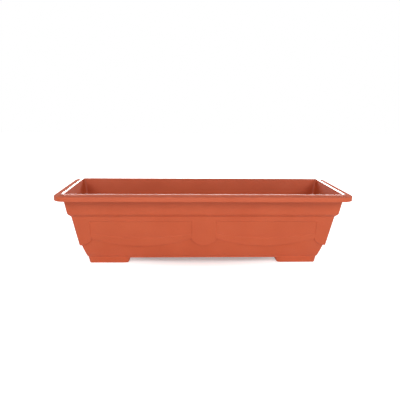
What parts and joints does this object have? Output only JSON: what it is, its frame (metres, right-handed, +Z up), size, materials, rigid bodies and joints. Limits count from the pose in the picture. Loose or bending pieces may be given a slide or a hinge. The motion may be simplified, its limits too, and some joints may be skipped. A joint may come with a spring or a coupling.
{
  "type": "window box planter",
  "caption": "Long rectangular planter with a down-turned rim, swags and tabs in low relief, hollow feet, lift-out drainage grids and push-in drain plugs.",
  "frame": {"origin": "on the ground under the middle of the trough", "axes": "+X along the trough to the right, +Y to the back, +Z up; the front faces -Y"},
  "size_m": [0.57, 0.22, 0.15],
  "materials": {
    "terracotta_polypropylene": "satin moulded",
    "black_polypropylene": "matt moulded",
    "plug_polyethylene": "satin moulded"
  },
  "bodies": {
    "trough": {"trough": "terracotta_polypropylene"},
    "grid_left": {"grid_left": "black_polypropylene"},
    "grid_right": {"grid_right": "black_polypropylene"},
    "drain_plug_front_left": {"drain_plug_front_left": "plug_polyethylene"},
    "drain_plug_front_right": {"drain_plug_front_right": "plug_polyethylene"},
    "drain_plug_back_left": {"drain_plug_back_left": "plug_polyethylene"},
    "drain_plug_back_right": {"drain_plug_back_right": "plug_polyethylene"}
  },
  "joints": [
    {"name": "grid_left_lift", "type": "slide", "parent": "trough", "child": "grid_left", "axis": [0, 0, 1], "range_m": [0, 0.15]},
    {"name": "grid_right_lift", "type": "slide", "parent": "trough", "child": "grid_right", "axis": [0, 0, 1], "range_m": [0, 0.15]},
    {"name": "plug_front_left_pull", "type": "slide", "parent": "trough", "child": "drain_plug_front_left", "axis": [0, 0, -1], "range_m": [0, 0.0085]},
    {"name": "plug_front_right_pull", "type": "slide", "parent": "trough", "child": "drain_plug_front_right", "axis": [0, 0, -1], "range_m": [0, 0.0085]},
    {"name": "plug_back_left_pull", "type": "slide", "parent": "trough", "child": "drain_plug_back_left", "axis": [0, 0, -1], "range_m": [0, 0.0085]},
    {"name": "plug_back_right_pull", "type": "slide", "parent": "trough", "child": "drain_plug_back_right", "axis": [0, 0, -1], "range_m": [0, 0.0085]}
  ]
}
